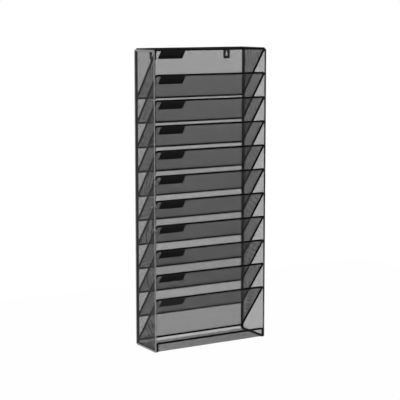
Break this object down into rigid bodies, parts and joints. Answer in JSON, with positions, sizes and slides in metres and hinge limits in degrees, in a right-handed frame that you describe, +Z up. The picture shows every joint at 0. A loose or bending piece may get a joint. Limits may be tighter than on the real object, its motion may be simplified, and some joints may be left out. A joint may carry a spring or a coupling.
{
  "type": "wall file rack",
  "caption": "Wall-hung black steel wire rack with mesh sides, sloped mesh pockets for folders, plain label plates and a mesh tray behind a lip wire at the foot.",
  "frame": {"origin": "on the floor plane under the middle of the rack's box", "axes": "+Z up along the height, +Y towards the wall behind the rack, so the pockets face -Y, +X to the right of someone facing it"},
  "size_m": [0.34, 0.112, 0.79],
  "materials": {
    "wire_coat": "semi-gloss black powder coat on steel wire",
    "mesh_coat": "satin black powder coat on steel mesh",
    "hem_coat": "semi-gloss black powder coat on folded steel strip",
    "plate_coat": "semi-gloss black powder coat on steel plate"
  },
  "bodies": {
    "root": {"frame_wire": "wire_coat", "top_ring": "wire_coat", "top_pocket_leg_left": "wire_coat", "top_pocket_leg_right": "wire_coat", "rear_rail_00": "wire_coat", "pocket_mesh_00": "mesh_coat", "label_plate_00": "plate_coat", "pocket_wire_01": "wire_coat", "rear_rail_01": "wire_coat", "pocket_mesh_01": "mesh_coat", "label_plate_01": "plate_coat", "pocket_wire_02": "wire_coat", "rear_rail_02": "wire_coat", "pocket_mesh_02": "mesh_coat", "label_plate_02": "plate_coat", "pocket_wire_03": "wire_coat", "rear_rail_03": "wire_coat", "pocket_mesh_03": "mesh_coat", "label_plate_03": "plate_coat", "pocket_wire_04": "wire_coat", "rear_rail_04": "wire_coat", "pocket_mesh_04": "mesh_coat", "label_plate_04": "plate_coat", "pocket_wire_05": "wire_coat", "rear_rail_05": "wire_coat", "pocket_mesh_05": "mesh_coat", "label_plate_05": "plate_coat", "pocket_wire_06": "wire_coat", "rear_rail_06": "wire_coat", "pocket_mesh_06": "mesh_coat", "label_plate_06": "plate_coat", "pocket_wire_07": "wire_coat", "rear_rail_07": "wire_coat", "pocket_mesh_07": "mesh_coat", "label_plate_07": "plate_coat", "pocket_wire_08": "wire_coat", "rear_rail_08": "wire_coat", "pocket_mesh_08": "mesh_coat", "label_plate_08": "plate_coat", "pocket_wire_09": "wire_coat", "rear_rail_09": "wire_coat", "pocket_mesh_09": "mesh_coat", "label_plate_09": "plate_coat", "pocket_wire_10": "wire_coat", "rear_rail_10": "wire_coat", "pocket_mesh_10": "mesh_coat", "label_plate_10": "plate_coat", "side_mesh_left": "mesh_coat", "side_hem_left": "hem_coat", "hanger_plate_left": "plate_coat", "side_mesh_right": "mesh_coat", "side_hem_right": "hem_coat", "hanger_plate_right": "plate_coat", "tray_mesh": "mesh_coat"}
  },
  "joints": []
}
